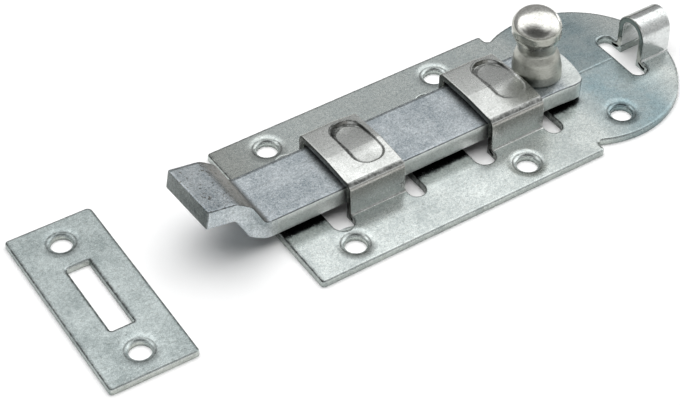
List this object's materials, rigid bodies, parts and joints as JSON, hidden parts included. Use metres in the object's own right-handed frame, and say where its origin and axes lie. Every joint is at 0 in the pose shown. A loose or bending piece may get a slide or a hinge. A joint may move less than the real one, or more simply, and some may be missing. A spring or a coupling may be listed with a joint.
{
  "type": "cranked barrel bolt",
  "caption": "Flat slide bolt with a cranked tip and turned knob, carried by strap guides on a round-headed backplate with a padlock eye, and a separate slotted strike plate.",
  "frame": {"origin": "middle of the backplate's four corner screw holes, on its back face", "axes": "+X along the bolt away from its cranked tip, towards the padlock eye; +Z out of the backplate's front, along the knob; +Y across the plate"},
  "size_m": [0.1477, 0.0459, 0.0226],
  "materials": {
    "zinc_sheet": "zinc plated, satin",
    "zinc_bar": "zinc plated, satin",
    "zinc_knob": "zinc plated, turned"
  },
  "bodies": {
    "plate": {"backplate": "zinc_sheet", "strike_plate": "zinc_sheet"},
    "bolt": {"bolt_bar": "zinc_bar", "knob": "zinc_knob"}
  },
  "joints": [
    {"name": "bolt_slide", "type": "slide", "parent": "plate", "child": "bolt", "axis": [1, 0, 0], "range_m": [0, 0.0165]}
  ]
}
